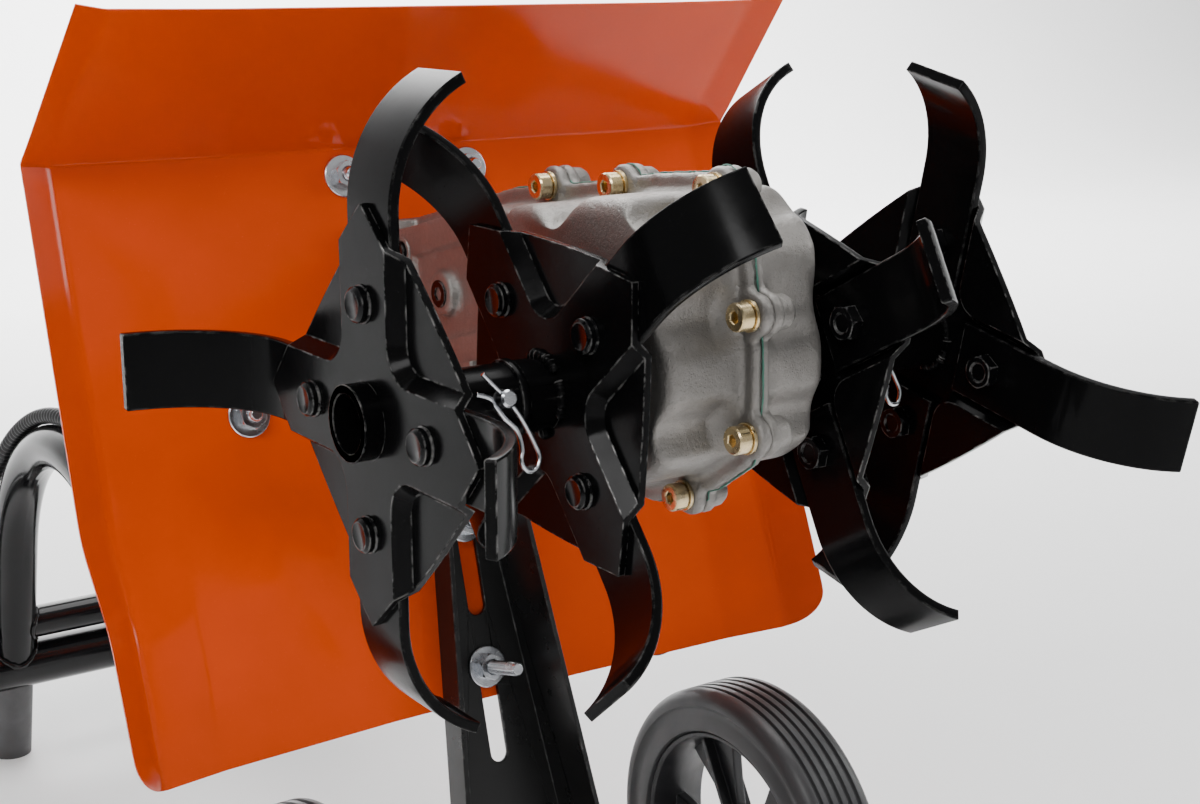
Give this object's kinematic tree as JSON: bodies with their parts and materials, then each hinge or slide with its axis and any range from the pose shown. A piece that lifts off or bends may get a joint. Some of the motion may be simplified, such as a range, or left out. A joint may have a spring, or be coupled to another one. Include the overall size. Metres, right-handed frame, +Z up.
{
  "type": "walk-behind rotary tiller",
  "caption": "Small petrol rotary tiller parked nose up on its transport wheels and handlebar feet, with a mudguard, alloy gear case and pinned star tine reels.",
  "frame": {"origin": "centre of the bounding box at the floor", "axes": "+X along the tine shaft, +Y from the tines towards the engine and handlebar, +Z up, with the machine tipped back nose up"},
  "size_m": [0.5952, 0.9204, 0.601],
  "materials": {
    "tine_black": "gloss black paint, worn at the edges",
    "bolt_black": "gloss black paint",
    "bare_steel": "machined steel",
    "zinc": "bright zinc plating",
    "cast_alloy": "sand cast and blasted",
    "yellow_zinc": "yellow zinc plating on steel",
    "orange_paint": "gloss powder coat",
    "bracket_black": "satin powder coat",
    "tube_black": "gloss powder coat",
    "grip_rubber": "moulded rubber",
    "tyre": "moulded rubber",
    "rim_plastic": "moulded plastic",
    "engine_alloy": "die cast",
    "cover_orange": "moulded plastic",
    "cover_black": "moulded plastic",
    "muffler_steel": "heat tinted steel"
  },
  "bodies": {
    "rotor": {"blade_bolts": "bolt_black", "blades_inner_left": "tine_black", "blades_inner_right": "tine_black", "blades_outer_left": "tine_black", "blades_outer_right": "tine_black", "output_shaft": "bare_steel", "star_inner_left": "tine_black", "star_inner_right": "tine_black", "star_outer_left": "tine_black", "star_outer_right": "tine_black", "tine_pins": "zinc", "tine_tube_inner_left": "tine_black", "tine_tube_inner_right": "tine_black", "tine_tube_outer_left": "tine_black", "tine_tube_outer_right": "tine_black"},
    "wheel_right": {"rim_right": "rim_plastic", "tyre_right": "tyre"},
    "wheel_left": {"rim_left": "rim_plastic", "tyre_left": "tyre"},
    "handlebar": {"brace": "tube_black", "cable_conduit": "cover_black", "column_left": "tube_black", "column_right": "tube_black", "conduit_clips": "bracket_black", "foot_left": "grip_rubber", "foot_right": "grip_rubber", "grip_bar": "tube_black", "grips": "grip_rubber", "levers": "cover_black"},
    "chassis": {"air_cleaner": "cover_black", "blower_housing": "cover_black", "chassis_bolts": "zinc", "chassis_plate": "bracket_black", "crankcase": "engine_alloy", "cylinder": "engine_alloy", "engine_base": "bracket_black", "fuel_cap": "cover_black", "fuel_tank": "cover_black", "gear_case_bolts": "yellow_zinc", "gear_case_left": "cast_alloy", "gear_case_right": "cast_alloy", "handle_ears": "bracket_black", "mudguard": "orange_paint", "muffler": "muffler_steel", "pivot_bolts": "zinc", "recoil_cover": "cover_orange", "wheel_axle": "zinc", "wheel_bracket": "bracket_black"}
  },
  "joints": [
    {"name": "rotor_spin", "type": "hinge", "parent": "chassis", "child": "rotor", "pos_m": [0, -0.31462, 0.43389], "axis": [1, 0, 0], "continuous": true},
    {"name": "wheel_right_spin", "type": "hinge", "parent": "chassis", "child": "wheel_right", "pos_m": [-0.146, -0.19863, 0.1], "axis": [1, 0, 0], "continuous": true},
    {"name": "wheel_left_spin", "type": "hinge", "parent": "chassis", "child": "wheel_left", "pos_m": [0.146, -0.19863, 0.1], "axis": [1, 0, 0], "continuous": true},
    {"name": "handle_fold", "type": "hinge", "parent": "chassis", "child": "handlebar", "pos_m": [0, -0.08334, 0.21358], "axis": [1, 0, 0], "range_deg": [-42, 0]}
  ]
}
